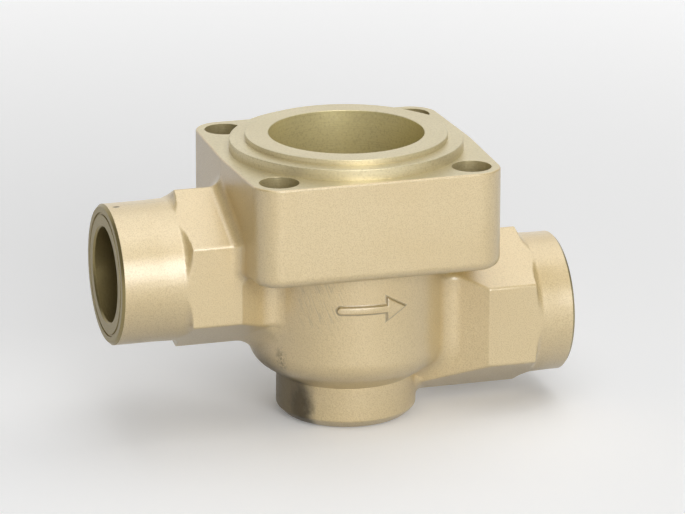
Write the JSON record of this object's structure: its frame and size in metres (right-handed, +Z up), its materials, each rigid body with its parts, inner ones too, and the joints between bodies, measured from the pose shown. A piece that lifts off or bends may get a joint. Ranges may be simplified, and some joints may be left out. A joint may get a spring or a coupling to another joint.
{
  "type": "flanged valve body",
  "caption": "Forged brass valve body: square bolting flange round an open main bore, in-line tube stubs at different heights with spanner flats and solder sockets, closed round boss below.",
  "frame": {"origin": "centre of the flat bottom face of the boss, on the axis of the main bore", "axes": "+X along the stubs from the inlet to the outlet, +Z up the main bore to its mouth"},
  "size_m": [0.1085, 0.0588, 0.0673],
  "materials": {
    "forged_brass": "satin"
  },
  "bodies": {
    "root": {"valve_body": "forged_brass"}
  },
  "joints": []
}
